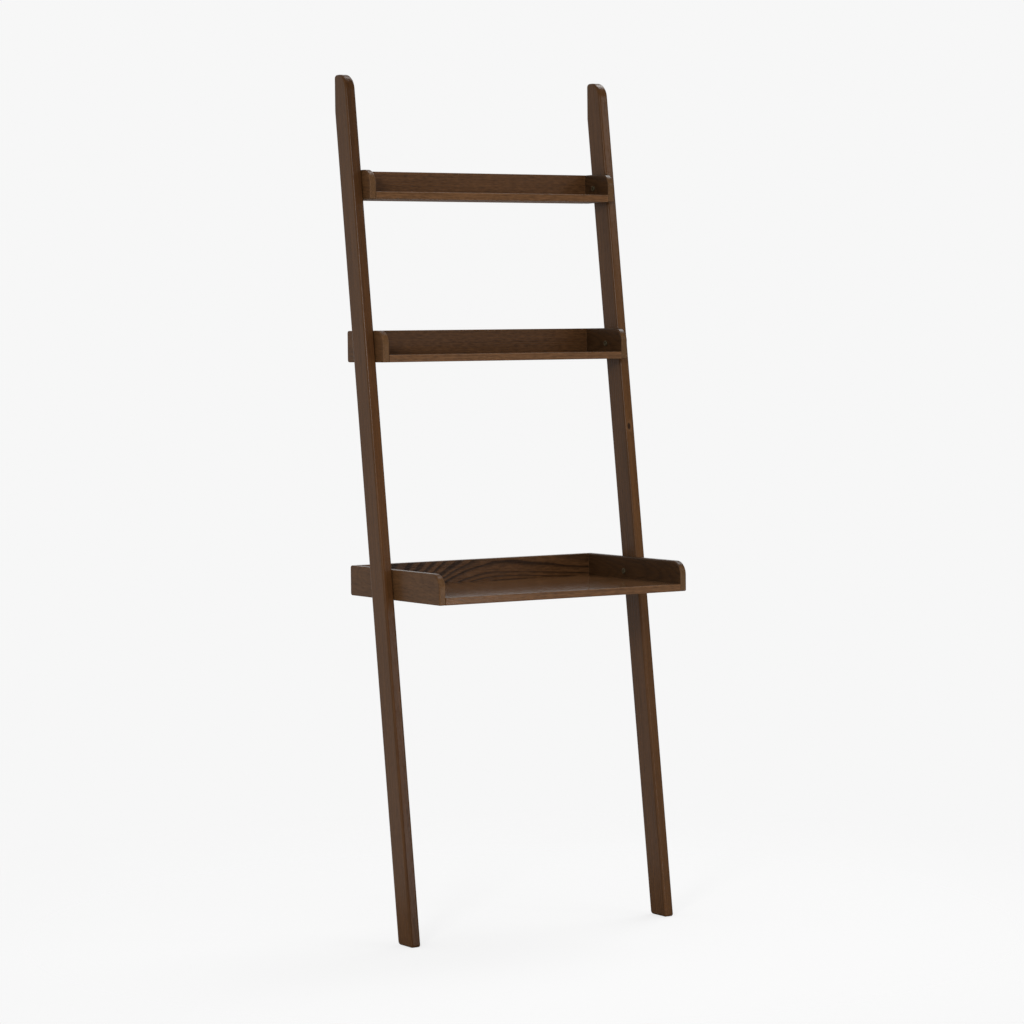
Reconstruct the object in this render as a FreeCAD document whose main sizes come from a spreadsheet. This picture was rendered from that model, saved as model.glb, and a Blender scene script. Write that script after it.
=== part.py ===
# Ladder desk: two leaning uprights carry two shelves and a desk between them.
# Each of the three is a tray of a board, a back panel and two cheeks, dowelled
# together.  A bolt and a locating dowel hold each cheek to its upright.
#
# Frame: X to the right, Y back towards the wall, Z up, floor at Z = 0.
# The origin lies on the floor, midway between the uprights and midway
# between the wall and the front edge of the desk.
import FreeCAD, Part
import os
import Sketcher
from FreeCAD import Placement, Rotation, Vector

# All sizes in millimetres.
SIZES = {
    # the whole desk; its depth is the desk tray's
    "overall_width": 684,
    "overall_height": 1880,
    # undersides of the trays: the desk above the floor, the top shelf below
    # the top end and the middle shelf below the top shelf
    "desk_level": 740,
    "top_shelf_drop": 273,
    "middle_shelf_drop": 354,
    # uprights: the wall cut and the reach of the foot set how far they lean
    "foot_reach": 288,          # wall to the front edge of the foot
    "wall_cut_length": 80,      # plumb face at the back of the top end
    "upright_thick": 24,
    "upright_wide": 58,         # square to its own length
    "upright_edge_radius": 5,
    "nose_radius": 36,          # front of the top end
    "heel_radius": 8,           # back of the foot and of the top end
    # trays: wall to front edge, height of the cheeks, rounding of their corner
    "desk_depth": 382,
    "desk_side": 66,
    "desk_corner": 30,
    "middle_shelf_depth": 158,
    "middle_shelf_side": 69,
    "middle_shelf_corner": 30,
    "top_shelf_depth": 110,
    "top_shelf_side": 64,
    "top_shelf_corner": 30,
    "cheek_thick": 16,
    "cheek_rear_corner": 5,
    "cheek_edge_radius": 3,
    "board_thick": 16,
    "back_thick": 16,
    "panel_edge_radius": 2,
    # bolt through the cheek into a threaded insert in the upright
    "bolt_dia": 6,
    "bolt_grip": 13.5,          # length of the bolt inside the insert
    "bolt_tip": 1,
    "bolt_head_dia": 12,
    "bolt_head_thick": 3,
    "bolt_head_edge": 1,
    "socket_across": 4,
    "socket_deep": 2.5,
    "insert_dia": 9,
    "insert_length": 15,
    "insert_chamfer": 0.6,
    "insert_sunk": 0.5,         # below the inner face of the upright
    # dowels
    "dowel_dia": 8,
    "dowel_chamfer": 1,
    "locating_dowel_length": 20,
    "locating_dowel_rise": 20,  # above the bolt
    "joint_dowel_length": 30,
    "joint_dowel_in_face": 10,  # the part of it in the face of a panel
    "board_dowel_inset": 26,    # from the front edge and from the back panel
    "back_dowel_spacing": 32,
    "rail_dowel_inset": 70,     # from the ends of the back panel
    # clearances
    "bolt_play": 0.5,           # added to the hole in the cheek
    "hole_play": 0.1,           # added to every other hole
    "blind_play": 1,            # a blind hole is this much deeper
}
TRAYS = ("desk", "middle_shelf", "top_shelf")
END_DOWEL_COUNTS = {"desk": 3, "middle_shelf": 2, "top_shelf": 2}
RAIL_DOWEL_COUNTS = {"desk": 4, "middle_shelf": 3, "top_shelf": 3}
SIDES = {"left": -1, "right": 1}
TOUCHING = 1e-6     # two places closer than this are one

doc = FreeCAD.newDocument("ladder_desk")
sheet = doc.addObject("Spreadsheet::Sheet", "Sizes")
for row, (alias, size) in enumerate(SIZES.items(), start=1):
    sheet.set(f"A{row}", alias.replace("_", " "))
    sheet.set(f"B{row}", str(size))
    sheet.setAlias(f"B{row}", alias)
doc.recompute()
pieces = []


# ---- places that several pieces share, as expressions on the sheet
LEVELS = {
    "desk": "Sizes.desk_level",
    "middle_shelf": "(Sizes.overall_height - Sizes.top_shelf_drop - Sizes.middle_shelf_drop)",
    "top_shelf": "(Sizes.overall_height - Sizes.top_shelf_drop)",
}
WALL = "Sizes.desk_depth / 2"
# An upright is a straight board between its toe on the floor and the bottom
# of its wall cut, so its lean follows from the reach, that height and its width.
WALL_CUT_FROM = "(Sizes.overall_height - Sizes.wall_cut_length)"
TOE_TO_WALL_CUT = f"sqrt(Sizes.foot_reach ^ 2 + {WALL_CUT_FROM} ^ 2)"
LEAN = f"(acos(Sizes.upright_wide / {TOE_TO_WALL_CUT}) - atan({WALL_CUT_FROM} / Sizes.foot_reach))"
FOOT_FRONT = f"({WALL} - Sizes.foot_reach)"
SOLE_LENGTH = f"(Sizes.upright_wide / cos({LEAN}))"
TOP_LENGTH = f"({SOLE_LENGTH} - Sizes.wall_cut_length * tan({LEAN}))"
INNER_FACE = "(Sizes.overall_width / 2 - Sizes.upright_thick)"
CLEAR_HALF = f"({INNER_FACE} - Sizes.cheek_thick)"
BACK_FRONT = f"({WALL} - Sizes.back_thick)"
BACK_MIDDLE = f"({WALL} - Sizes.back_thick / 2)"

BOLT_HOLE = "Sizes.bolt_dia + Sizes.bolt_play"
BOLT_LENGTH = "(Sizes.cheek_thick + Sizes.insert_sunk + Sizes.bolt_grip)"
INSERT_HOLE = "Sizes.insert_dia + Sizes.hole_play"
INSERT_HOLE_DEEP = "Sizes.insert_sunk + Sizes.insert_length + Sizes.blind_play"
DOWEL_HOLE = "Sizes.dowel_dia + Sizes.hole_play"
LOCATING_HOLE_DEEP = "Sizes.locating_dowel_length / 2 + Sizes.blind_play"
DOWEL_IN_END = "(Sizes.joint_dowel_length - Sizes.joint_dowel_in_face)"
END_HOLE_DEEP = f"{DOWEL_IN_END} + Sizes.blind_play"
FACE_HOLE_DEEP = "Sizes.joint_dowel_in_face + Sizes.blind_play"


def upright_middle(height):
    """A point of the middle line of the uprights, as Y and Z."""
    return f"({FOOT_FRONT} + ({height}) * tan({LEAN}) + {SOLE_LENGTH} / 2)", height


def bolt_place(tray):
    """Bolts sit half-way up the cheeks."""
    return upright_middle(f"({LEVELS[tray]} + Sizes.{tray}_side / 2)")


def locating_place(tray):
    """The locating dowel enters the upright above the bolt."""
    return upright_middle(f"({LEVELS[tray]} + Sizes.{tray}_side / 2 + Sizes.locating_dowel_rise)")


def tray_front(tray):
    return f"({WALL} - Sizes.{tray}_depth)"


def cheek_top(tray):
    return f"({LEVELS[tray]} + Sizes.{tray}_side)"


def board_middle(tray):
    return f"({LEVELS[tray]} + Sizes.board_thick / 2)"


def spread(first, last, count):
    """Evenly spaced places from one expression to another."""
    return [f"({first}) + (({last}) - ({first})) * {i} / {count - 1}" for i in range(count)]


def board_dowel_ys(tray):
    """Y of the dowels between the board and a cheek."""
    front = f"{tray_front(tray)} + Sizes.board_dowel_inset"
    rear = f"{BACK_FRONT} - Sizes.board_dowel_inset"
    return spread(front, rear, END_DOWEL_COUNTS[tray])


def back_dowel_zs(tray):
    """Z of the two dowels between the back panel and a cheek."""
    middle = f"{LEVELS[tray]} + Sizes.{tray}_side / 2"
    half = "Sizes.back_dowel_spacing / 2"
    return [f"{middle} - {half}", f"{middle} + {half}"]


def rail_dowel_xs(tray):
    """X of the dowels between the back panel and the board."""
    reach = f"({CLEAR_HALF} - Sizes.rail_dowel_inset)"
    return spread(f"-{reach}", reach, RAIL_DOWEL_COUNTS[tray])


# ---- features
def number(expression):
    """The value of an expression on the sheet."""
    return float(sheet.evalExpression(expression))


def new_body(label, x="0", y="0", z="0", turn=0):
    """A body with its own label, placed by expressions and turned about Z."""
    body = doc.addObject("PartDesign::Body", label)
    body.Label = label
    body.Placement = Placement(Vector(), Rotation(Vector(0, 0, 1), turn))
    for axis, place in zip("xyz", (x, y, z)):
        body.setExpression(f"Placement.Base.{axis}", place)
    pieces.append(body)
    return body


def new_sketch(body, name, plane, offset="0"):
    """A sketch on one of the body's own origin planes."""
    sketch = body.newObject("Sketcher::SketchObject", f"{body.Name}_{name}")
    origin_plane = next(f for f in body.Origin.OriginFeatures if f.Role == plane)
    sketch.AttachmentSupport = (origin_plane, [""])
    sketch.MapMode = "FlatFace"
    sketch.setExpression("AttachmentOffset.Base.z", offset)
    return sketch


def locate(sketch, geometry, point, x, y):
    """Tie a point of the sketch to two expressions."""
    for kind, place in (("DistanceX", x), ("DistanceY", y)):
        at = sketch.addConstraint(
            Sketcher.Constraint(kind, -1, 1, geometry, point, number(place)))
        sketch.setExpression(f"Constraints[{at}]", place)


def draw_outline(sketch, corners):
    """A closed outline of straight lines through corners given as expressions."""
    points = [Vector(number(x), number(y), 0) for x, y in corners]
    count = len(points)
    for i in range(count):
        sketch.addGeometry(Part.LineSegment(points[i], points[(i + 1) % count]), False)
    for i in range(count):
        sketch.addConstraint(Sketcher.Constraint("Coincident", i, 2, (i + 1) % count, 1))
    for i, (x, y) in enumerate(corners):
        locate(sketch, i, 1, x, y)


def draw_circles(sketch, centres, diameter):
    """Equal circles about centres given as expressions."""
    for x, y in centres:
        centre = Vector(number(x), number(y), 0)
        circle = Part.Circle(centre, Vector(0, 0, 1), number(diameter) / 2)
        geometry = sketch.addGeometry(circle, False)
        locate(sketch, geometry, 3, x, y)
        at = sketch.addConstraint(
            Sketcher.Constraint("Diameter", geometry, number(diameter)))
        sketch.setExpression(f"Constraints[{at}]", diameter)


def pad(body, sketch, length, backwards=False):
    """Raise a sketch into a solid."""
    feature = body.newObject("PartDesign::Pad", f"{sketch.Name}_pad")
    feature.Profile = sketch
    feature.Reversed = backwards
    feature.setExpression("Length", length)
    doc.recompute()
    return feature


def pocket(body, sketch, depth, along_normal):
    """Cut a sketch into the body and make sure that it cut something."""
    before = body.Shape.Volume
    feature = body.newObject("PartDesign::Pocket", f"{sketch.Name}_pocket")
    feature.Profile = sketch
    feature.Reversed = along_normal
    feature.setExpression("Length", depth)
    doc.recompute()
    if not feature.Shape.Volume < before:
        raise RuntimeError(f"{sketch.Name} cuts nothing")


def drill(body, name, plane, offset, centres, diameter, depth, along_normal):
    """Round holes, all of one size, from one plane."""
    sketch = new_sketch(body, name, plane, offset)
    draw_circles(sketch, centres, diameter)
    pocket(body, sketch, depth, along_normal)


def revolve(body, sketch):
    """Turn a sketch about its own horizontal axis."""
    feature = body.newObject("PartDesign::Revolution", f"{sketch.Name}_turned")
    feature.Profile = sketch
    feature.ReferenceAxis = (sketch, ["H_Axis"])
    feature.Angle = 360
    doc.recompute()


def round_edges(body, name, base, radius, wanted):
    """Round the edges of the base feature that the test picks."""
    names = [f"Edge{i}" for i, edge in enumerate(base.Shape.Edges, start=1) if wanted(edge)]
    feature = body.newObject("PartDesign::Fillet", f"{body.Name}_{name}")
    feature.Base = (base, names)
    feature.setExpression("Radius", radius)
    doc.recompute()
    return feature


def across(edge):
    """True for a straight edge along X."""
    return isinstance(edge.Curve, Part.Line) and abs(edge.Curve.Direction.x) > 1 - TOUCHING


def at_any_of(edge, corners):
    """True for an edge along X through one of these corners, given as Y and Z."""
    middle = edge.CenterOfMass
    return across(edge) and any(
        abs(middle.y - number(y)) < TOUCHING and abs(middle.z - number(z)) < TOUCHING
        for y, z in corners)


def in_side_face(edge):
    """True for an edge of the two faces that look left and right."""
    return not across(edge)


# ---- uprights: leaning boards, cut level at the foot and at the top and plumb
# ---- at the wall, each with an insert hole and a dowel hole for every tray
def make_upright(side, sign):
    body = new_body(f"{side}_upright", x=f"{sign} * {INNER_FACE}")
    toe = (FOOT_FRONT, "0")
    heel = (f"{FOOT_FRONT} + {SOLE_LENGTH}", "0")
    wall_cut = (WALL, WALL_CUT_FROM)
    crown = (WALL, "Sizes.overall_height")
    nose = (f"{WALL} - {TOP_LENGTH}", "Sizes.overall_height")
    outline = new_sketch(body, "outline", "YZ_Plane")
    draw_outline(outline, [toe, heel, wall_cut, crown, nose])
    blank = pad(body, outline, "Sizes.upright_thick", backwards=sign < 0)
    nosed = round_edges(body, "nose", blank,
                        f"min(Sizes.nose_radius; {TOP_LENGTH} - Sizes.heel_radius)",
                        lambda edge: at_any_of(edge, [nose]))
    heeled = round_edges(body, "heel", nosed, "Sizes.heel_radius",
                         lambda edge: at_any_of(edge, [heel, crown]))
    toed = round_edges(body, "toe", heeled, "Sizes.upright_edge_radius",
                       lambda edge: at_any_of(edge, [toe]))
    round_edges(body, "arris", toed, "Sizes.upright_edge_radius", in_side_face)
    outwards = sign > 0
    drill(body, "insert_holes", "YZ_Plane", "0", [bolt_place(tray) for tray in TRAYS],
          INSERT_HOLE, INSERT_HOLE_DEEP, outwards)
    drill(body, "dowel_holes", "YZ_Plane", "0", [locating_place(tray) for tray in TRAYS],
          DOWEL_HOLE, LOCATING_HOLE_DEEP, outwards)


# ---- cheeks: the ends of a tray, rounded at the front top corner
def make_cheek(tray, side, sign):
    body = new_body(f"{tray}_{side}_cheek", x=f"{sign} * {INNER_FACE}")
    front = tray_front(tray)
    brow = (front, cheek_top(tray))
    chin = (front, LEVELS[tray])
    rear_corners = [(WALL, LEVELS[tray]), (WALL, cheek_top(tray))]
    outline = new_sketch(body, "outline", "YZ_Plane")
    draw_outline(outline, [brow, chin] + rear_corners)
    blank = pad(body, outline, "Sizes.cheek_thick", backwards=sign > 0)
    browed = round_edges(body, "brow", blank, f"Sizes.{tray}_corner",
                         lambda edge: at_any_of(edge, [brow]))
    reared = round_edges(body, "rear_corners", browed, "Sizes.cheek_rear_corner",
                         lambda edge: at_any_of(edge, rear_corners))
    chinned = round_edges(body, "chin", reared, "Sizes.cheek_edge_radius",
                          lambda edge: at_any_of(edge, [chin]))
    round_edges(body, "arris", chinned, "Sizes.cheek_edge_radius", in_side_face)
    outwards = sign > 0
    drill(body, "bolt_hole", "YZ_Plane", "0", [bolt_place(tray)],
          BOLT_HOLE, "Sizes.cheek_thick", not outwards)
    drill(body, "locating_hole", "YZ_Plane", "0", [locating_place(tray)],
          DOWEL_HOLE, LOCATING_HOLE_DEEP, not outwards)
    board_ends = [(y, board_middle(tray)) for y in board_dowel_ys(tray)]
    back_ends = [(BACK_MIDDLE, z) for z in back_dowel_zs(tray)]
    drill(body, "panel_dowel_holes", "YZ_Plane", f"{-sign} * Sizes.cheek_thick",
          board_ends + back_ends, DOWEL_HOLE, FACE_HOLE_DEEP, outwards)


# ---- boards: between the cheeks and in front of the back panel
def make_board(tray):
    body = new_body(f"{tray}_board")
    front = tray_front(tray)
    bottom = LEVELS[tray]
    top = f"{bottom} + Sizes.board_thick"
    outline = new_sketch(body, "outline", "YZ_Plane", f"-{CLEAR_HALF}")
    draw_outline(outline, [(front, bottom), (BACK_FRONT, bottom), (BACK_FRONT, top), (front, top)])
    blank = pad(body, outline, f"2 * {CLEAR_HALF}")
    round_edges(body, "front_edge", blank, "Sizes.panel_edge_radius",
                lambda edge: at_any_of(edge, [(front, bottom), (front, top)]))
    middle = board_middle(tray)
    for side, sign in SIDES.items():
        drill(body, f"{side}_dowel_holes", "YZ_Plane", f"{sign} * {CLEAR_HALF}",
              [(y, middle) for y in board_dowel_ys(tray)], DOWEL_HOLE, END_HOLE_DEEP, sign < 0)
    drill(body, "rear_dowel_holes", "XZ_Plane", f"-{BACK_FRONT}",
          [(x, middle) for x in rail_dowel_xs(tray)], DOWEL_HOLE, END_HOLE_DEEP, True)


# ---- back panels: between the cheeks, as high as they are
def make_back(tray):
    body = new_body(f"{tray}_back_panel")
    bottom = LEVELS[tray]
    top = cheek_top(tray)
    outline = new_sketch(body, "outline", "YZ_Plane", f"-{CLEAR_HALF}")
    draw_outline(outline, [(BACK_FRONT, bottom), (WALL, bottom), (WALL, top), (BACK_FRONT, top)])
    blank = pad(body, outline, f"2 * {CLEAR_HALF}")
    round_edges(body, "long_edges", blank, "Sizes.panel_edge_radius",
                lambda edge: at_any_of(edge, [(WALL, bottom), (WALL, top), (BACK_FRONT, top)]))
    for side, sign in SIDES.items():
        drill(body, f"{side}_dowel_holes", "YZ_Plane", f"{sign} * {CLEAR_HALF}",
              [(BACK_MIDDLE, z) for z in back_dowel_zs(tray)], DOWEL_HOLE, END_HOLE_DEEP, sign < 0)
    drill(body, "front_dowel_holes", "XZ_Plane", f"-{BACK_FRONT}",
          [(x, board_middle(tray)) for x in rail_dowel_xs(tray)],
          DOWEL_HOLE, FACE_HOLE_DEEP, False)


# ---- bolts: flat round head on the inner face of the cheek, hexagon socket
def hexagon(across_flats):
    """The corners of a hexagon with this width across its flats."""
    reach = f"{across_flats} / 2 / cos(30 deg)"
    return [(f"{reach} * cos({turn} deg)", f"{reach} * sin({turn} deg)")
            for turn in range(0, 360, 60)]


def make_bolt(tray, side, sign):
    y, z = bolt_place(tray)
    body = new_body(f"{tray}_{side}_bolt", f"{sign} * {CLEAR_HALF}", y, z, 0 if sign > 0 else 180)
    head = "Sizes.bolt_head_dia / 2"
    shank = "Sizes.bolt_dia / 2"
    head_face = "-Sizes.bolt_head_thick"
    profile = new_sketch(body, "profile", "XY_Plane")
    draw_outline(profile, [
        (head_face, "0"),
        (BOLT_LENGTH, "0"),
        (BOLT_LENGTH, f"{shank} - Sizes.bolt_tip"),
        (f"{BOLT_LENGTH} - Sizes.bolt_tip", shank),
        ("0", shank),
        ("0", head),
        (f"{head_face} + Sizes.bolt_head_edge", head),
        (head_face, f"{head} - Sizes.bolt_head_edge"),
    ])
    revolve(body, profile)
    socket = new_sketch(body, "socket", "YZ_Plane", head_face)
    draw_outline(socket, hexagon("Sizes.socket_across"))
    pocket(body, socket, "Sizes.socket_deep", True)


# ---- inserts: threaded sleeves let into the uprights
def make_insert(tray, side, sign):
    y, z = bolt_place(tray)
    body = new_body(f"{tray}_{side}_insert", f"{sign} * ({INNER_FACE} + Sizes.insert_sunk)", y, z,
                    0 if sign > 0 else 180)
    outer = "Sizes.insert_dia / 2"
    bore = "(Sizes.bolt_dia + Sizes.hole_play) / 2"
    profile = new_sketch(body, "profile", "XY_Plane")
    draw_outline(profile, [
        ("0", bore),
        ("Sizes.insert_length", bore),
        ("Sizes.insert_length", f"{outer} - Sizes.insert_chamfer"),
        ("Sizes.insert_length - Sizes.insert_chamfer", outer),
        ("Sizes.insert_chamfer", outer),
        ("0", f"{outer} - Sizes.insert_chamfer"),
    ])
    revolve(body, profile)


# ---- dowels: plain round pegs with chamfered ends
DOWEL_TURNS = {
    "X": Rotation(Vector(0, 1, 0), 90),
    "Y": Rotation(Vector(1, 0, 0), -90),
}


def make_dowel(label, axis, start, length):
    """A dowel that runs along +X or +Y from a place given as expressions."""
    peg = doc.addObject("Part::Cylinder", f"{label}_peg")
    peg.Placement = Placement(Vector(), DOWEL_TURNS[axis])
    peg.setExpression("Radius", "Sizes.dowel_dia / 2")
    peg.setExpression("Height", length)
    for name, place in zip("xyz", start):
        peg.setExpression(f"Placement.Base.{name}", place)
    doc.recompute()
    chamfer = number("Sizes.dowel_chamfer")
    dowel = doc.addObject("Part::Chamfer", label)
    dowel.Base = peg
    dowel.Edges = [(i, chamfer, chamfer)
                   for i, edge in enumerate(peg.Shape.Edges, start=1) if edge.isClosed()]
    return dowel


def make_locating_dowel(tray, side, sign):
    """The dowel that keeps a cheek level on its upright."""
    y, z = locating_place(tray)
    start = f"{sign} * {INNER_FACE} - Sizes.locating_dowel_length / 2"
    pieces.append(make_dowel(f"{tray}_{side}_locating_dowel", "X", (start, y, z),
                             "Sizes.locating_dowel_length"))


def group_dowels(label, dowels):
    """Like dowels of one tray, as separate solids under one name."""
    group = doc.addObject("Part::Compound", label)
    group.Links = dowels
    pieces.append(group)


def make_joint_dowels(tray):
    """The dowels that hold the board, the back panel and the cheeks together."""
    length = "Sizes.joint_dowel_length"
    middle = board_middle(tray)
    starts = {
        "left": f"-{CLEAR_HALF} - Sizes.joint_dowel_in_face",
        "right": f"{CLEAR_HALF} - {DOWEL_IN_END}",
    }
    board_places = [(side, y, middle) for side in SIDES for y in board_dowel_ys(tray)]
    back_places = [(side, BACK_MIDDLE, z) for side in SIDES for z in back_dowel_zs(tray)]
    for name, places in (("board", board_places), ("back", back_places)):
        group_dowels(f"{tray}_{name}_dowels", [
            make_dowel(f"{tray}_{name}_dowel_{i}", "X", (starts[side], y, z), length)
            for i, (side, y, z) in enumerate(places, start=1)])
    rail_start = f"{BACK_FRONT} - {DOWEL_IN_END}"
    group_dowels(f"{tray}_rail_dowels", [
        make_dowel(f"{tray}_rail_dowel_{i}", "Y", (x, rail_start, middle), length)
        for i, x in enumerate(rail_dowel_xs(tray), start=1)])


# ---- the whole desk
for side, sign in SIDES.items():
    make_upright(side, sign)
for tray in TRAYS:
    make_board(tray)
    make_back(tray)
    for side, sign in SIDES.items():
        make_cheek(tray, side, sign)
        make_bolt(tray, side, sign)
        make_insert(tray, side, sign)
        make_locating_dowel(tray, side, sign)
    make_joint_dowels(tray)
doc.recompute()

for thing in doc.Objects:
    if "Invalid" in thing.State or "Error" in thing.State:
        raise RuntimeError(f"{thing.Label} failed: {thing.State}")
for piece in pieces:
    if piece.Shape.isNull() or not piece.Shape.isValid():
        raise RuntimeError(f"{piece.Label} has no valid shape")

os.makedirs("parts", exist_ok=True)
for piece in pieces:
    piece.Shape.exportStep(f"parts/{piece.Label}.step")
print(f"{len(pieces)} pieces written")
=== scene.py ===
import math

import bmesh
import bpy
from mathutils import Matrix, Vector


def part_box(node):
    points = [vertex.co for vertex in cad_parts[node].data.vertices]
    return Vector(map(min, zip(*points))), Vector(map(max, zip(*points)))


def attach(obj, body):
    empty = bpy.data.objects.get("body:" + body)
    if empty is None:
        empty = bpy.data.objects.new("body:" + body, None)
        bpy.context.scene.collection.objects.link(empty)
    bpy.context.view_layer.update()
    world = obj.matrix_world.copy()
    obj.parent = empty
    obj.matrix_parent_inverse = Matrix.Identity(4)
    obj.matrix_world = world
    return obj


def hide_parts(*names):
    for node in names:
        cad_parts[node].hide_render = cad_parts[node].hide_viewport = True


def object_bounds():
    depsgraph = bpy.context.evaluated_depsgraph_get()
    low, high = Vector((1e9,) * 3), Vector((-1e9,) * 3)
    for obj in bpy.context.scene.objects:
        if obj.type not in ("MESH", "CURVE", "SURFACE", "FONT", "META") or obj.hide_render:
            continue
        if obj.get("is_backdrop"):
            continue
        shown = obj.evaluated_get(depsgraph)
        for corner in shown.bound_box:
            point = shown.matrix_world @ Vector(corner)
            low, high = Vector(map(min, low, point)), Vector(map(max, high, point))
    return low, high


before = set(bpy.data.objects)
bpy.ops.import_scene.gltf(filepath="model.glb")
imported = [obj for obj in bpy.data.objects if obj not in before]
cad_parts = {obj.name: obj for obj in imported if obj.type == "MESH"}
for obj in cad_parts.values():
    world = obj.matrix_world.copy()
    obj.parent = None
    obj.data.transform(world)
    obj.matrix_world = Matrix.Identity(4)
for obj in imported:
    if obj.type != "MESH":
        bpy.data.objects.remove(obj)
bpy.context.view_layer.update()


# ---------------------------------------------------------------- Uprights
# Two straight boards of solid ash, 24 x 58 mm, stained dark walnut and lacquered satin. They are cut
# level at the foot and plumb where they lean on the wall, and every edge is rounded by a router.
# Nothing fixes them to each other but the three trays.

def feed(tree, node, inputs):
    """Gives a node its inputs. What feeds one is either linked, if it is a socket, or set as its value."""
    for name, value in inputs.items():
        if isinstance(value, bpy.types.NodeSocket):
            tree.links.new(value, node.inputs[name])
        else:
            node.inputs[name].default_value = value


def add_node(tree, kind, inputs=None, **settings):
    """Adds a node with its settings and its inputs."""
    made = tree.nodes.new(kind)
    for name, value in settings.items():
        setattr(made, name, value)
    feed(tree, made, inputs or {})
    return made


def work_out(tree, operation, *terms, clamp=False):
    """One step of arithmetic on numbers."""
    made = add_node(tree, "ShaderNodeMath", dict(enumerate(terms)), operation=operation, use_clamp=clamp)
    return made.outputs["Value"]


def work_out_vector(tree, operation, *terms):
    """One step of arithmetic on vectors."""
    made = add_node(tree, "ShaderNodeVectorMath", dict(enumerate(terms)), operation=operation)
    return made.outputs["Value" if operation in ("LENGTH", "DOT_PRODUCT") else "Vector"]


def scale_vector(tree, vector, factor):
    """A vector or a colour, times a number."""
    made = add_node(tree, "ShaderNodeVectorMath", {0: vector, "Scale": factor}, operation="SCALE")
    return made.outputs["Vector"]


def ease(tree, value, start, end, to_start=0.0, to_end=1.0):
    """Goes smoothly from to_start to to_end while value goes from start to end."""
    made = add_node(
        tree, "ShaderNodeMapRange",
        {"Value": value, "From Min": start, "From Max": end, "To Min": to_start, "To Max": to_end},
        interpolation_type="SMOOTHSTEP")
    return made.outputs["Result"]


def mix_colours(tree, amount, one, other):
    """Goes from one colour to the other while amount goes from 0 to 1.

    The mix node keeps a set of sockets for each kind of value. Colours go in at 6 and 7 and come out at 2.
    """
    return add_node(tree, "ShaderNodeMix", {0: amount, 6: one, 7: other}, data_type="RGBA").outputs[2]


def noise(tree, vector, across, along, detail=2.0, rough=0.5):
    """Noise stretched along the grain: across and along are how many spots there are to a metre."""
    spots = work_out_vector(tree, "MULTIPLY", vector, (across, across, along))
    settings = {"Vector": spots, "Scale": 1.0, "Detail": detail, "Roughness": rough}
    return add_node(tree, "ShaderNodeTexNoise", settings).outputs


def swing(tree, vector, across, along, amount, around=0.0, **settings):
    """Noise that swings by about amount to both sides of a value."""
    centred = work_out(tree, "SUBTRACT", noise(tree, vector, across, along, **settings)["Fac"], 0.5)
    return work_out(tree, "MULTIPLY_ADD", centred, 2 * amount, around)


def new_group(name, inputs, outputs):
    """A node group, for an effect that several finishes share, with what it is given and its output node."""
    group = bpy.data.node_groups.new(name, "ShaderNodeTree")
    for socket, kind, value in inputs:
        made = group.interface.new_socket(name=socket, in_out="INPUT", socket_type=kind)
        if value is not None:
            made.default_value = value
    for socket, kind in outputs:
        group.interface.new_socket(name=socket, in_out="OUTPUT", socket_type=kind)
    return group, group.nodes.new("NodeGroupInput").outputs, group.nodes.new("NodeGroupOutput")


def new_finish(name):
    """A material, its node tree, its Principled BSDF and the coordinates of what it covers."""
    material = bpy.data.materials.new(name)
    material.use_nodes = True
    tree = material.node_tree
    return material, tree, tree.nodes["Principled BSDF"], add_node(tree, "ShaderNodeTexCoord").outputs


def finish_with(node, material):
    """Puts a material on all of a CAD piece."""
    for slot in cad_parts[node].material_slots:
        slot.material = material


# Ash is ring-porous. Each year's ring starts with a band of open pores, which drinks the stain and turns
# dark, and ends in dense wood that stays lighter. The rings lie round the pith, which is the vector's z axis.
# A flare pushes the rings outwards over a stretch of the length, as they go near a branch, and the figure
# is weaker past it.
grain, given, put_out = new_group(
    "stained_ash_grain",
    [
        ("Vector", "NodeSocketVector", None),
        ("Ring Width", "NodeSocketFloat", 0.003),
        ("Crook", "NodeSocketFloat", 0.006),
        ("Flare", "NodeSocketFloat", 0.0),
        ("Flare From", "NodeSocketFloat", 0.0),
        ("Flare To", "NodeSocketFloat", 0.2),
        ("Figure", "NodeSocketFloat", 0.5),
        ("Streaks", "NodeSocketFloat", 0.3),
        ("Dullness", "NodeSocketFloat", 0.28),
        ("Dense Wood", "NodeSocketColor", (0.08, 0.035, 0.014, 1)),
        ("Open Wood", "NodeSocketColor", (0.06, 0.026, 0.010, 1)),
    ],
    [("Color", "NodeSocketColor"), ("Roughness", "NodeSocketFloat"), ("Height", "NodeSocketFloat")],
)
tree = grain
place = given["Vector"]

# How far a place is from the pith, once the crooked trunk, the ripple of its rings, the flare and the good
# and bad years are taken into account, gives its year, and the rest of that the season.
wander = work_out_vector(tree, "SUBTRACT", noise(tree, place, 5.0, 3.2, detail=1.0)["Color"], (0.5, 0.5, 0.5))
wander = scale_vector(tree, wander, work_out(tree, "MULTIPLY", given["Crook"], 4.0))
bent = work_out_vector(tree, "ADD", place, wander)
radius = work_out_vector(tree, "LENGTH", work_out_vector(tree, "MULTIPLY", bent, (1.0, 1.0, 0.0)))
radius = work_out(tree, "ADD", radius, swing(tree, place, 45.0, 9.0, 0.0018))
along = add_node(tree, "ShaderNodeSeparateXYZ", {0: place}).outputs["Z"]
flared = ease(tree, along, given["Flare From"], given["Flare To"])
radius = work_out(tree, "MULTIPLY_ADD", flared, given["Flare"], radius)
good_years = add_node(
    tree, "ShaderNodeTexNoise", {"W": work_out(tree, "MULTIPLY", radius, 110.0), "Scale": 1.0, "Detail": 1.0},
    noise_dimensions="1D").outputs["Fac"]
radius = work_out(tree, "MULTIPLY_ADD", good_years, 0.004, radius)
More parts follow.
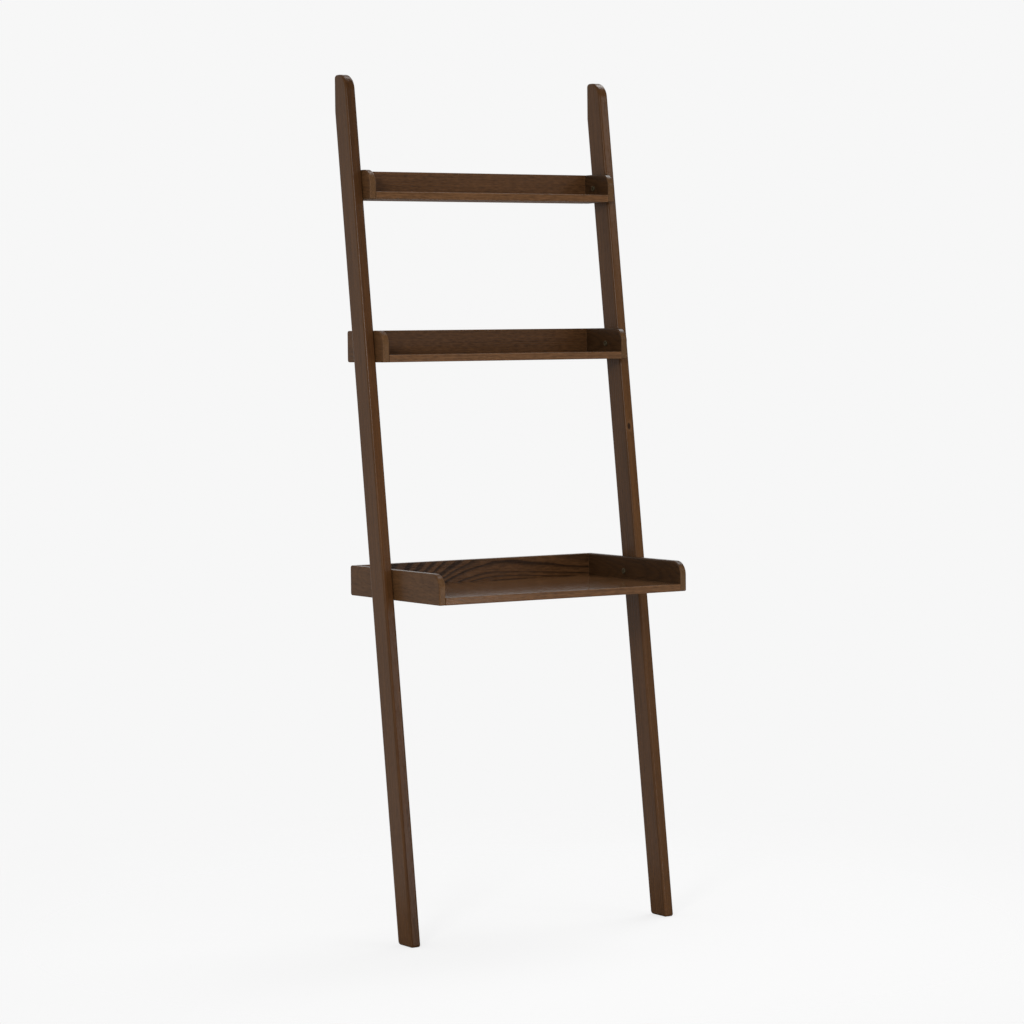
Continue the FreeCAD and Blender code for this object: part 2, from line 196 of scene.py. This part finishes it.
years = work_out(tree, "DIVIDE", radius, given["Ring Width"])
season = work_out(tree, "FRACT", years)

# Pores open in spring, more of them in a wet year.
spring = work_out(tree, "MAXIMUM", ease(tree, season, 0.02, 0.55, 1.0, 0.0), ease(tree, season, 0.88, 1.0))
wet_year = add_node(
    tree, "ShaderNodeTexWhiteNoise", {"W": work_out(tree, "FLOOR", years)},
    noise_dimensions="1D").outputs["Value"]
open_band = work_out(tree, "MULTIPLY", spring, work_out(tree, "MULTIPLY_ADD", wet_year, 0.5, 0.5))
pores = ease(tree, noise(tree, place, 1500.0, 55.0, detail=1.0)["Fac"], 0.56, 0.70)
pores = work_out(tree, "MULTIPLY", pores, work_out(tree, "MULTIPLY_ADD", open_band, 0.75, 0.25))

# The stain comes out unevenly: by fibres, by patches as wide as a hand, by streaks, and darker in the pores.
fibres = noise(tree, place, 900.0, 14.0)["Fac"]
patches = noise(tree, place, 14.0, 2.0, detail=1.0)["Fac"]
shade = swing(tree, place, 230.0, 4.0, 0.40, around=1.0, detail=3.0, rough=0.6)
shade = work_out(tree, "MULTIPLY_ADD", work_out(tree, "SUBTRACT", fibres, 0.5), 0.35, shade)
shade = work_out(tree, "MULTIPLY_ADD", work_out(tree, "SUBTRACT", patches, 0.5), 0.30, shade)
streaks = swing(tree, place, 380.0, 60.0, 1.0, detail=3.0, rough=0.6)
shade = work_out(tree, "MULTIPLY_ADD", streaks, given["Streaks"], shade)
shade = work_out(tree, "MULTIPLY", shade, work_out(tree, "MULTIPLY_ADD", pores, -0.45, 1.0))
past_flare = work_out(tree, "MULTIPLY_ADD", work_out(tree, "POWER", flared, 3.0), -0.55, 1.0)
figure = work_out(tree, "MULTIPLY", given["Figure"], past_flare)
band = work_out(tree, "MULTIPLY", open_band, figure, clamp=True)
stained = mix_colours(tree, band, given["Dense Wood"], given["Open Wood"])

# Lacquer sinks into the open wood, so that it is duller and lower there.
rough = work_out(tree, "MULTIPLY_ADD", open_band, 0.15, 0.75)
rough = work_out(tree, "MULTIPLY_ADD", pores, 0.6, rough)
rough = work_out(tree, "MULTIPLY_ADD", patches, 0.4, rough)
height = work_out(tree, "MULTIPLY_ADD", open_band, -0.25, work_out(tree, "MULTIPLY", pores, -1.0))
feed(tree, put_out, {
    "Color": scale_vector(tree, stained, shade),
    "Roughness": work_out(tree, "MULTIPLY", rough, given["Dullness"]),
    "Height": work_out(tree, "MULTIPLY_ADD", fibres, 0.20, height),
})

# Where two faces meet, sanding and hands rub the stain thin. The group takes a piece's own corners, and the
# radius of its front top corner, and puts out 1 on the nearest edge and 0 a little inwards of it. Where the
# finishes lighten these edges, that is partly wear and partly a painted highlight.
edges, given, put_out = new_group(
    "worn_and_highlit_edges",
    [
        ("Vector", "NodeSocketVector", None),
        ("Low", "NodeSocketVector", None),
        ("High", "NodeSocketVector", None),
        ("Front Top Radius", "NodeSocketFloat", 0.0),
        ("Width", "NodeSocketFloat", 0.0016),
    ],
    [("Rubbed", "NodeSocketFloat")],
)
tree = edges
from_low = work_out_vector(tree, "SUBTRACT", given["Vector"], given["Low"])
from_high = work_out_vector(tree, "SUBTRACT", given["High"], given["Vector"])
nearest = work_out_vector(tree, "MINIMUM", from_low, from_high)
near_x, near_y, near_z = add_node(tree, "ShaderNodeSeparateXYZ", {0: nearest}).outputs
nearer = work_out(tree, "MINIMUM", near_x, near_y)
farther = work_out(tree, "MAXIMUM", near_x, near_y)
from_edge = work_out(tree, "MAXIMUM", nearer, work_out(tree, "MINIMUM", farther, near_z))

# The round front top corner is an edge too. A place's distance to it is told in the board's side view.
front = add_node(tree, "ShaderNodeSeparateXYZ", {0: from_low}).outputs["Y"]
top = add_node(tree, "ShaderNodeSeparateXYZ", {0: from_high}).outputs["Z"]
past_front = work_out(tree, "SUBTRACT", given["Front Top Radius"], front)
past_top = work_out(tree, "SUBTRACT", given["Front Top Radius"], top)
in_corner = add_node(tree, "ShaderNodeCombineXYZ", {
    0: work_out(tree, "MAXIMUM", past_front, 0.0), 1: work_out(tree, "MAXIMUM", past_top, 0.0)}).outputs[0]
straight = work_out(tree, "MINIMUM", work_out(tree, "MAXIMUM", past_front, past_top), 0.0)
reach = work_out(tree, "ADD", work_out_vector(tree, "LENGTH", in_corner), straight)
from_round = work_out(tree, "SUBTRACT", given["Front Top Radius"], reach)
distance = work_out(tree, "MINIMUM", from_edge, work_out(tree, "MAXIMUM", near_x, from_round))
uneven = swing(tree, given["Vector"], 60.0, 60.0, 0.5, detail=3.0)
ragged = work_out(tree, "ADD", uneven, work_out(tree, "DIVIDE", distance, given["Width"]))
feed(tree, put_out, {"Rubbed": ease(tree, ragged, 0.35, 1.35, 1.0, 0.0)})


def stain(shade, hue):
    """A colour of the stain: how light it is, times its hue. For some pieces that lightness holds painted
    shade too.
    """
    return tuple(shade * part for part in hue)


def tone_by_height(tree, height, tones):
    """How light a face is at a height, from pairs of a height and how light it is there."""
    top_of_ramp = 2.0  # a ramp's places and colours end at 1, so they are held in parts of this
    ramp = add_node(tree, "ShaderNodeValToRGB", {0: work_out(tree, "DIVIDE", height, top_of_ramp)})
    stops = ramp.color_ramp.elements
    while len(stops) < len(tones):
        stops.new(1.0)
    for stop, (at, tone) in zip(stops, tones):
        level = tone / top_of_ramp
        stop.position = at / top_of_ramp
        stop.color = (level, level, level, 1)
    return scale_vector(tree, ramp.outputs["Color"], top_of_ramp)


def stained_ash(name, low, high, pith, turn, ring_width=0.003, crook=0.006, figure=0.5, streaks=0.3,
                flare=(0.0, 0.0, 0.2), corner=0.0, lean=0.0, foot=(0.0, 0.0, 0.0), front_painted_light=(1.0, 1.0, 1.0),
                front_painted_light_by_height=None, polished=None, dullness=0.28, relief=0.3, knot=None,
                dense=(0.080, 0.0355, 0.0135), opened=(0.058, 0.0250, 0.0092)):
    """The finish of one board.

    Its grain runs along the z axis of a frame that starts at the pith and is turned. figure and streaks are
    how strongly its rings and its fine streaks show. flare is how far a branch pushes the rings outwards, and
    from where to where along the grain. Its low and high corners are measured from foot, leaning back, and
    corner is the radius of its front top corner. The front tint is painted light and shade on its front face,
    set against its other faces, and the front tones are pairs of a height and how light the front is painted
    there. polished gives two heights between which its worn edges go from dull to shiny. dullness is that of
    its lacquer, relief how deep its pores are, and knot the middle of a pin knot. dense and opened are the
    colours of its dense and its open wood. Undersides are stained but not lacquered.
    """
    material, tree, surface, coordinates = new_finish(name)
    place = coordinates["Object"]
    in_log = add_node(
        tree, "ShaderNodeMapping", {"Vector": place, "Location": pith, "Rotation": turn},
        vector_type="TEXTURE").outputs["Vector"]
    in_board = add_node(
        tree, "ShaderNodeMapping", {"Vector": place, "Location": foot, "Rotation": (-lean, 0, 0)},
        vector_type="TEXTURE").outputs["Vector"]
    if knot:
        # A pin knot is longer than it is wide, and the rings bend round it.
        from_knot = work_out_vector(tree, "SUBTRACT", place, knot)
        from_knot = work_out_vector(tree, "MULTIPLY", from_knot, (1.0, 1.0, 0.55))
        from_knot = work_out_vector(tree, "LENGTH", from_knot)
        bulge = scale_vector(tree, (1.0, 1.0, 0.0), ease(tree, from_knot, 0.0, 0.015, 0.006, 0.0))
        in_log = work_out_vector(tree, "ADD", in_log, bulge)
    wood = add_node(tree, "ShaderNodeGroup", {
        "Vector": in_log, "Ring Width": ring_width, "Crook": crook, "Figure": figure, "Streaks": streaks,
        "Flare": flare[0], "Flare From": flare[1], "Flare To": flare[2], "Dullness": dullness,
        "Dense Wood": (*dense, 1), "Open Wood": (*opened, 1)}, node_tree=grain).outputs
    worn_and_highlit = add_node(tree, "ShaderNodeGroup", {
        "Vector": in_board, "Low": low, "High": high, "Front Top Radius": corner},
        node_tree=edges).outputs["Rubbed"]

    _, facing_y, facing_z = add_node(tree, "ShaderNodeSeparateXYZ", {0: coordinates["Normal"]}).outputs
    up_board = add_node(tree, "ShaderNodeSeparateXYZ", {0: in_board}).outputs["Z"]
    # The front face is painted a colour of its own against the other faces, and lighter or darker with
    # height: painted light and shade.
    front_colour = work_out_vector(tree, "MULTIPLY", wood["Color"], front_painted_light)
    if front_painted_light_by_height:
        tone = tone_by_height(tree, up_board, front_painted_light_by_height)
        front_colour = work_out_vector(tree, "MULTIPLY", front_colour, tone)
    colour = mix_colours(tree, ease(tree, facing_y, -0.5, -0.9), wood["Color"], front_colour)
    if knot:
        halo = ease(tree, from_knot, 0.005, 0.011, 0.35, 0.0)
        heart = ease(tree, from_knot, 0.0030, 0.0052, 0.9, 0.0)
        colour = mix_colours(tree, halo, colour, (0.16, 0.080, 0.034, 1))
        colour = mix_colours(tree, heart, colour, (0.020, 0.009, 0.004, 1))
    # The edges are painted lighter: partly stain rubbed thin, partly a painted warm highlight along the
    # rounding.
    colour = mix_colours(tree, work_out(tree, "MULTIPLY", worn_and_highlit, 0.20), colour, (0.17, 0.085, 0.036, 1))

    edge_dullness = 0.45
    if polished:
        edge_dullness = ease(tree, up_board, *polished, 0.55, 0.15)
    rough = work_out(tree, "MULTIPLY_ADD", worn_and_highlit, edge_dullness, wood["Roughness"])
    unlacquered = ease(tree, facing_z, -0.3, -0.9, 0.0, 0.6)
    pore_depth = 0.0002
    bump = add_node(
        tree, "ShaderNodeBump", {"Strength": relief, "Distance": pore_depth, "Height": wood["Height"]})
    feed(tree, surface, {
        "Base Color": colour,
        "Roughness": work_out(tree, "ADD", rough, unlacquered),
        "Normal": bump.outputs["Normal"],
        "Specular IOR Level": 0.16,
    })
    return material


# The bolts sit on the uprights' middle line, so two of them give the lean and where the line meets the floor.
low_bolt = sum(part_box("desk_left_bolt"), Vector()) / 2
high_bolt = sum(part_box("top_shelf_left_bolt"), Vector()) / 2
slope = (high_bolt.y - low_bolt.y) / (high_bolt.z - low_bolt.z)
lean = math.atan(slope)
foot_y = low_bolt.y - slope * low_bolt.z
upright_wide = 0.058
below_foot, past_top_end = -1.0, 3.0  # so that only the long edges are rubbed, not the ends'
knot_height = 1.10
knot_inset = 0.009
sides = {"left": -1, "right": 1}
upright_shades = {"left": 0.080, "right": 0.075}
# The uprights' fronts get painted light and shade: a colour of their own against the faces, and lighter or
# darker with height.
upright_front_painted_light = {"left": (1.06, 0.96, 0.83), "right": (1.20, 1.15, 1.02)}
upright_front_light_by_height = {
    "left": ((0.0, 0.68), (0.7, 0.93), (0.95, 1.10), (1.8, 0.68)),
    "right": ((0.3, 1.00), (0.6, 0.88), (0.9, 1.20), (1.8, 0.90)),
}

# Each upright is sawn beside the pith and a little askew to it, from a stretch of log of its own.
for side, way in sides.items():
    low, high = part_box(f"{side}_upright")
    foot = ((low.x + high.x) / 2, foot_y, 0.0)
    half = (high.x - low.x) / 2
    front = foot_y - upright_wide / 2 / math.cos(lean)
    knot = None
    if side == "right":
        knot = (low.x + knot_inset, front + slope * knot_height, knot_height)
    finish_with(f"{side}_upright", stained_ash(
        f"{side}_upright_stained_ash", foot=foot, lean=lean,
        low=(-half, -upright_wide / 2, below_foot), high=(half, upright_wide / 2, past_top_end),
        pith=(foot[0] - 0.055 * way, foot_y + 0.075, 0.37 * way), turn=(-lean + 0.006, 0.004 * way, 0.0),
        ring_width=0.0034, crook=0.005, figure=0.6, knot=knot,
        front_painted_light=upright_front_painted_light[side], front_painted_light_by_height=upright_front_light_by_height[side], polished=(0.8, 1.1),
        dense=stain(upright_shades[side], (1, 0.455, 0.174))))


# ---------------------------------------------------------------- Threaded inserts
# Zinc-plated steel sleeves, six of them, screwed into the uprights' inner faces and sunk half a
# millimetre. The trays' bolts screw into them. The cheeks cover them once the desk is together.
zinc, tree, surface, coordinates = new_finish("plain_zinc")
spangle = add_node(
    tree, "ShaderNodeTexVoronoi", {"Vector": coordinates["Object"], "Scale": 900.0}).outputs["Distance"]
feed(tree, surface, {
    "Base Color": mix_colours(tree, spangle, (0.55, 0.54, 0.51, 1), (0.42, 0.41, 0.39, 1)),
    "Roughness": work_out(tree, "MULTIPLY_ADD", spangle, 0.2, 0.32),
    "Metallic": 1.0,
})
trays = ("desk", "middle_shelf", "top_shelf")
for tray in trays:
    for side in sides:
        finish_with(f"{tray}_{side}_insert", zinc)


# ---------------------------------------------------------------- Tray boards
# Each tray's floor is one board, 16 mm thick, stained and finished like the uprights, with its grain
# running from cheek to cheek. Its ends are dowelled and glued to the cheeks.

# The pith is below each board, in another place for each tray, so that no two boards look the same.
for index, tray in enumerate(trays):
    low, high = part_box(f"{tray}_board")
    middle = (low + high) / 2
    finish_with(f"{tray}_board", stained_ash(
        f"{tray}_board_stained_ash", low=low, high=high,
        pith=(0.31 * index, middle.y + 0.02, low.z - 0.05 - 0.01 * index),
        turn=(0.0, math.pi / 2 + 0.01, 0.006), ring_width=0.0036, crook=0.006, figure=0.6, streaks=0.7,
        dullness=0.12, relief=0.1, dense=(0.124, 0.059, 0.0250), opened=(0.090, 0.042, 0.0170)))


# ---------------------------------------------------------------- Back panels
# One panel stands behind each board, 16 mm thick and flush with the wall. The shelves' panels have straight
# grain. The desk's is flat-sawn and shows flames near its left end. All are dowelled to board and cheeks.
# How light each back panel is stained, with painted shade: the desk's and the middle shelf's are darker than
# the top shelf's.
panel_stain_and_painted_shade = {"desk": 0.090, "middle_shelf": 0.088, "top_shelf": 0.105}
for index, tray in enumerate(trays):
    low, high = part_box(f"{tray}_back_panel")
    if tray == "desk":
        sawn = dict(pith=(0.0, low.y + 0.067, high.z + 0.004), flare=(0.052, -0.33, 0.05), crook=0.008,
                    ring_width=0.0066, figure=3.0, opened=(0.032, 0.0145, 0.0062))
    else:
        sawn = dict(pith=(0.3 * index, low.y + 0.05, low.z - 0.10), crook=0.005,
                    ring_width=0.0036, figure=0.6)
    finish_with(f"{tray}_back_panel", stained_ash(
        f"{tray}_back_panel_stained_ash", low=low, high=high, turn=(0.0, math.pi / 2, 0.0), streaks=0.85,
        dense=stain(panel_stain_and_painted_shade[tray], (1, 0.45, 0.175)), **sawn))


# ---------------------------------------------------------------- Cheeks
# Two cheeks close each tray's ends. They are the same 16 mm boards with the grain from front to back,
# rounded at the front top corner, and each is bolted through to its upright.
cheek_corner = 0.030
# The right cheeks are painted darker, a painted shade over their inner faces, and all cheeks' fronts are
# painted lighter, the right ones most.
cheek_stain_and_painted_shade = {"left": 0.085, "right": 0.046}
cheek_front_painted_light = {"left": (1.30, 1.34, 1.30), "right": (2.25, 2.40, 2.25)}
for index, tray in enumerate(trays):
    for side, way in sides.items():
        low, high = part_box(f"{tray}_{side}_cheek")
        middle = (low + high) / 2
        shade = cheek_stain_and_painted_shade[side]
        finish_with(f"{tray}_{side}_cheek", stained_ash(
            f"{tray}_{side}_cheek_stained_ash", low=low, high=high, corner=cheek_corner,
            pith=(middle.x + 0.05 * way, 0.23 * index + 0.4 * way, middle.z + 0.01),
            turn=(-math.pi / 2 + 0.02, 0.0, 0.05), ring_width=0.0032, crook=0.010, figure=0.8, streaks=0.45,
            front_painted_light=cheek_front_painted_light[side], dullness=0.34,
            dense=stain(shade, (1, 0.465, 0.178)), opened=stain(shade, (0.65, 0.29, 0.105))))


# ---------------------------------------------------------------- Dowels
# Plain beech pegs, 8 mm thick. Thirty-six are glued into the joints of the trays, and one more above each
# bolt keeps its tray from turning. None of them shows once the desk is together.
beech, tree, surface, coordinates = new_finish("bare_beech")
flecks = noise(tree, coordinates["Object"], 700.0, 700.0, detail=3.0)["Fac"]
feed(tree, surface, {
    "Base Color": mix_colours(tree, flecks, (0.58, 0.41, 0.25, 1), (0.47, 0.31, 0.17, 1)),
    "Roughness": work_out(tree, "MULTIPLY_ADD", flecks, 0.2, 0.55),
})
for tray in trays:
    for group in ("board", "back", "rail"):
        finish_with(f"{tray}_{group}_dowels", beech)
    for side in sides:
        finish_with(f"{tray}_{side}_locating_dowel", beech)


# ---------------------------------------------------------------- Bolts
# Six M6 furniture bolts of steel, with a flat round head, a 4 mm hexagon socket and a rolled thread,
# plated dark bronze. Each goes through its cheek into the insert in the upright.
bronze, tree, surface, coordinates = new_finish("dark_bronze_plating")
blotches = noise(tree, coordinates["Object"], 400.0, 400.0)["Fac"]
feed(tree, surface, {
    "Base Color": mix_colours(tree, blotches, (0.110, 0.086, 0.047, 1), (0.072, 0.056, 0.031, 1)),
    "Roughness": work_out(tree, "MULTIPLY_ADD", blotches, 0.2, 0.26),
    "Metallic": 0.5,
})

# The first bolt is turned from ring to ring, from the edge of its head's face to its tip.
low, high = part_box("desk_right_bolt")
axis = (low + high) / 2
bolt_length = high.x - low.x
head_radius = (high.y - low.y) / 2
segments = 48
head_thick = 0.003
rim = 0.001
face_radius = head_radius - rim
chamfer = 0.0002
fillet = 0.0003
shank_radius = 0.003
plain_shank = 0.0165
core_radius = 0.0025
thread_start = head_thick + plain_shank
run_in = 0.0006
point = 0.001
rings = []
for step in range(1, 5):
    rounded = math.pi / 2 * step / 4
    rings.append((rim * (1 - math.cos(rounded)), face_radius + rim * math.sin(rounded)))
rings += [
    (head_thick - chamfer, head_radius),
    (head_thick, head_radius - chamfer),
    (head_thick, shank_radius + fillet),
    (head_thick + fillet, shank_radius),
    (thread_start - run_in, shank_radius),
    (thread_start, core_radius),
    (bolt_length - point, core_radius),
    (bolt_length, core_radius - run_in),
]


def pick(piece, wanted):
    """In edit mode, selects the points whose place along the bolt and distance from its axis are wanted."""
    bpy.ops.mesh.select_all(action="DESELECT")
    mesh = bmesh.from_edit_mesh(piece.data)
    for vertex in mesh.verts:
        vertex.select = wanted(vertex.co.x - low.x, math.hypot(vertex.co.y - axis.y, vertex.co.z - axis.z))
    mesh.select_flush(True)
    bmesh.update_edit_mesh(piece.data)


bpy.ops.object.select_all(action="DESELECT")
bpy.ops.mesh.primitive_circle_add(
    vertices=segments, radius=face_radius, location=(low.x, axis.y, axis.z), rotation=(0, math.pi / 2, 0))
bolt = bpy.context.object
bpy.ops.object.transform_apply(location=True, rotation=True, scale=True)
bpy.ops.object.mode_set(mode="EDIT")
bpy.ops.mesh.select_mode(type="VERT")
bpy.ops.mesh.select_all(action="SELECT")
at, radius = 0.0, face_radius
for next_at, next_radius in rings:
    bpy.ops.mesh.extrude_region_move(TRANSFORM_OT_translate={"value": (next_at - at, 0, 0)})
    bpy.ops.transform.resize(
        value=(1, next_radius / radius, next_radius / radius),
        center_override=(low.x + next_at, axis.y, axis.z))
    at, radius = next_at, next_radius
bpy.ops.mesh.edge_face_add()

# The socket is a hexagon, bridged to the head's flat face with a small bevel and sunk 2.5 mm. Its sides are
# cut up, so that it has as many points as the face.
socket_across = 0.004
socket_radius = socket_across / 2 / math.cos(math.pi / 6)
socket_deep = 0.0025
bevel = 0.0003
nearly = 1e-6  # points this close together along the bolt are in one ring
about = 1e-5  # the same for distances from its axis
pick(bolt, lambda along, out: along < nearly and abs(out - face_radius) < about)
bpy.ops.mesh.extrude_region_move(TRANSFORM_OT_translate={"value": (0, 0, 0)})
shrink = (socket_radius + bevel) / face_radius
bpy.ops.transform.resize(value=(1, shrink, shrink), center_override=(low.x, axis.y, axis.z))
bpy.ops.mesh.select_all(action="DESELECT")
bpy.ops.mesh.primitive_circle_add(
    vertices=6, radius=socket_radius, location=(low.x + bevel, axis.y, axis.z), rotation=(0, math.pi / 2, 0))
bpy.ops.mesh.subdivide(number_cuts=segments // 6 - 1)
pick(bolt, lambda along, out: along < bevel + nearly and out < socket_radius + bevel + about)
bpy.ops.mesh.bridge_edge_loops()
pick(bolt, lambda along, out: abs(along - bevel) < nearly and out < socket_radius + about)
bpy.ops.mesh.extrude_region_move(TRANSFORM_OT_translate={"value": (socket_deep - bevel, 0, 0)})
bpy.ops.mesh.edge_face_add()
bpy.ops.mesh.select_all(action="SELECT")
bpy.ops.mesh.normals_make_consistent(inside=False)
bpy.ops.object.mode_set(mode="OBJECT")

# The thread is a ridge of 1 mm pitch wound round the shank.
ridge = 0.00049
pitch = 0.001
bpy.ops.object.select_all(action="DESELECT")
bpy.ops.mesh.primitive_circle_add(vertices=4, radius=ridge, rotation=(math.pi / 2, 0, 0))
thread = bpy.context.object
bpy.ops.object.transform_apply(location=True, rotation=True, scale=True)
bpy.ops.object.mode_set(mode="EDIT")
bpy.ops.mesh.select_all(action="SELECT")
bpy.ops.transform.translate(value=(0, 0, shank_radius - ridge))
bpy.ops.object.mode_set(mode="OBJECT")
winding = thread.modifiers.new("winding", "SCREW")
winding.axis = "X"
winding.screw_offset = pitch
winding.iterations = int((bolt_length - thread_start) / winding.screw_offset) - 1
winding.steps = 24
winding.render_steps = 24
winding.use_smooth_shade = False
bpy.ops.object.modifier_apply(modifier="winding")
bpy.ops.object.mode_set(mode="EDIT")
bpy.ops.mesh.select_all(action="SELECT")
bpy.ops.transform.translate(value=(low.x + thread_start, axis.y, axis.z))
bpy.ops.mesh.fill_holes(sides=4)
bpy.ops.mesh.normals_make_consistent(inside=False)
bpy.ops.object.mode_set(mode="OBJECT")
bolt.select_set(True)
bpy.context.view_layer.objects.active = bolt
bpy.ops.object.join()
bpy.ops.object.shade_smooth_by_angle(angle=math.radians(35))
bolt.data.materials.clear()
bolt.data.materials.append(bronze)

# The others are copies, each tightened to an angle of its own. The left ones point the other way.
bolts = {}
for index, tray in enumerate(trays):
    for side, way in sides.items():
        node_low, node_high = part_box(f"{tray}_{side}_bolt")
        to_place = Matrix.Translation((node_low + node_high) / 2)
        turned_round = Matrix.Rotation(0 if way > 0 else math.pi, 4, "Z")
        tightened = Matrix.Rotation(0.7 * index + 0.3 * way, 4, "X")
        copy = bolt.copy()
        copy.data = bolt.data.copy()
        copy.data.transform(to_place @ turned_round @ tightened @ Matrix.Translation(-axis))
        copy.name = f"{tray}_{side}_threaded_bolt"
        bpy.context.collection.objects.link(copy)
        bolts[f"{tray}_{side}_bolt"] = copy
bpy.data.objects.remove(bolt)
for node, copy in bolts.items():
    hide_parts(node)
    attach(copy, "root")


# ---------------------------------------------------------------- Studio
# A pale floor that fades into a pale surround, a soft lamp overhead, small ones in front, and a long lens low
# in front of the desk and to its left.
white = (1, 1, 1, 1)
background = 0.930
floor_reach = 2.1
below_feet = 0.0004
bpy.ops.object.select_all(action="DESELECT")
bpy.ops.mesh.primitive_circle_add(
    vertices=96, radius=floor_reach, fill_type="NGON", location=(0, 0, -below_feet))
floor = bpy.context.object
floor.name = "studio_floor"
pale = bpy.data.materials.new("pale_floor")
pale.use_nodes = True
tree = pale.node_tree
tree.nodes.remove(tree.nodes["Principled BSDF"])
ray = add_node(tree, "ShaderNodeLightPath").outputs

# Where it is seen, the floor mostly glows, as bright as the surround. Its paint takes light and shadow.
painted = add_node(tree, "ShaderNodeBsdfDiffuse", {"Color": (0.86, 0.86, 0.86, 1)}).outputs[0]
glowing = add_node(tree, "ShaderNodeEmission", {"Color": white, "Strength": 0.979}).outputs[0]
seen = work_out(tree, "MAXIMUM", ray["Is Camera Ray"], ray["Is Transmission Ray"])
glow = work_out(tree, "MULTIPLY", seen, 0.75)
lit = add_node(tree, "ShaderNodeMixShader", {0: glow, 1: painted, 2: glowing}).outputs[0]

# Mirrored in the lacquer it is dim, and gone behind the desk. It fades out towards its rim, and from below
# nothing of it is seen.
dim = add_node(tree, "ShaderNodeEmission", {"Color": white, "Strength": 0.10}).outputs[0]
shaded = add_node(tree, "ShaderNodeMixShader", {0: ray["Is Glossy Ray"], 1: lit, 2: dim}).outputs[0]
placed = add_node(tree, "ShaderNodeTexCoord").outputs["Object"]
far = ease(tree, work_out_vector(tree, "LENGTH", placed), 0.5, floor_reach * 0.9)
from_below = add_node(tree, "ShaderNodeNewGeometry").outputs["Backfacing"]
behind = ease(tree, add_node(tree, "ShaderNodeSeparateXYZ", {0: placed}).outputs["Y"], 0.20, 0.74)
mirrored = work_out(tree, "MULTIPLY", ray["Is Glossy Ray"], behind)
unseen = work_out(tree, "MAXIMUM", work_out(tree, "MAXIMUM", far, mirrored), from_below)
clear = add_node(tree, "ShaderNodeBsdfTransparent").outputs[0]
faded = add_node(tree, "ShaderNodeMixShader", {0: unseen, 1: shaded, 2: clear}).outputs[0]
feed(tree, tree.nodes["Material Output"], {"Surface": faded})
floor.data.materials.append(pale)
floor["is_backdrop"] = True

# What the lacquer mirrors of the surround: the bright backdrop behind the desk, the dim room beside it and
# in front, and the pale ground in front.
world = bpy.data.worlds.new("pale_surround")
bpy.context.scene.world = world
world.use_nodes = True
tree = world.node_tree
ray = add_node(tree, "ShaderNodeLightPath").outputs
direction = add_node(tree, "ShaderNodeTexCoord").outputs["Generated"]
_, back, up = add_node(tree, "ShaderNodeSeparateXYZ", {0: direction}).outputs
ahead = work_out_vector(tree, "DOT_PRODUCT", direction, (0.53, 0.85, 0.0))
backdrop = ease(tree, ahead, 0.78, 0.93, 0.0, background)
room = ease(tree, back, 0.1, 0.75, 0.04, 0.52)
ground = ease(tree, up, 0.08, -0.04, 0.0, background)
ground = work_out(tree, "MULTIPLY", ground, ease(tree, back, 0.1, -0.5, 0.0, 0.75))
around = work_out(tree, "MAXIMUM", backdrop, work_out(tree, "MAXIMUM", room, ground))

# Seen directly, the surround is as bright as the background, and it lights the desk a little less.
ambient = 0.70
seen = work_out(tree, "MAXIMUM", ray["Is Camera Ray"], ray["Is Transmission Ray"])
strength = work_out(tree, "MULTIPLY_ADD", seen, background - ambient, ambient)
more = work_out(tree, "SUBTRACT", around, ambient)
strength = work_out(tree, "MULTIPLY_ADD", ray["Is Glossy Ray"], more, strength)
feed(tree, tree.nodes["Background"], {"Color": white, "Strength": strength})


def soft_lamp(name, place, aim, size, radiance):
    """A square lamp at a place, facing another, as bright to look at as radiance says."""
    lamp = bpy.data.lights.new(name, "AREA")
    lamp.shape = "SQUARE"
    lamp.size = size
    lamp.energy = radiance * math.pi * size * size
    holder = bpy.data.objects.new(name, lamp)
    bpy.context.collection.objects.link(holder)
    holder.location = place
    holder.rotation_euler = (Vector(aim) - Vector(place)).to_track_quat("-Z", "Y").to_euler()


# The front left lamp lights the outer faces, and the right ones a stretch of the uprights' fronts each.
soft_lamp("overhead_lamp", place=(2.65, 1.25, 4.95), aim=(0, 0, 0.95), size=1.9, radiance=6.5)
soft_lamp("front_left_lamp", place=(-2.92, -2.64, 2.25), aim=(0, 0, 0.95), size=0.67, radiance=36.0)
soft_lamp("upper_right_lamp", place=(1.95, -2.07, 2.48), aim=(0.33, 0.14, 1.70), size=0.5, radiance=6.4)
soft_lamp("lower_right_lamp", place=(1.05, -2.28, 0.89), aim=(-0.33, -0.07, 0.50), size=0.35, radiance=7.0)
soft_lamp("foot_lamp", place=(1.05, -2.28, 0.36), aim=(-0.33, -0.07, 0.20), size=0.2, radiance=22.0)

camera = bpy.data.cameras.new("long_lens")
camera.lens = 118.60
camera.sensor_width = 36.0
viewer = bpy.data.objects.new("viewer", camera)
bpy.context.collection.objects.link(viewer)
viewer.location = (-3.9596, -6.2833, 1.3161)
viewer.rotation_mode = "QUATERNION"
to_right, upwards, tilt = 0.56059, -0.05337, -0.01104
turned = Matrix.Rotation(-to_right, 3, "Z")
turned = turned @ Matrix.Rotation(math.pi / 2 + upwards, 3, "X")
turned = turned @ Matrix.Rotation(tilt, 3, "Z")
viewer.rotation_quaternion = turned.to_quaternion()
bpy.context.scene.camera = viewer
bpy.context.scene.view_settings.view_transform = "Standard"

low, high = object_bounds()
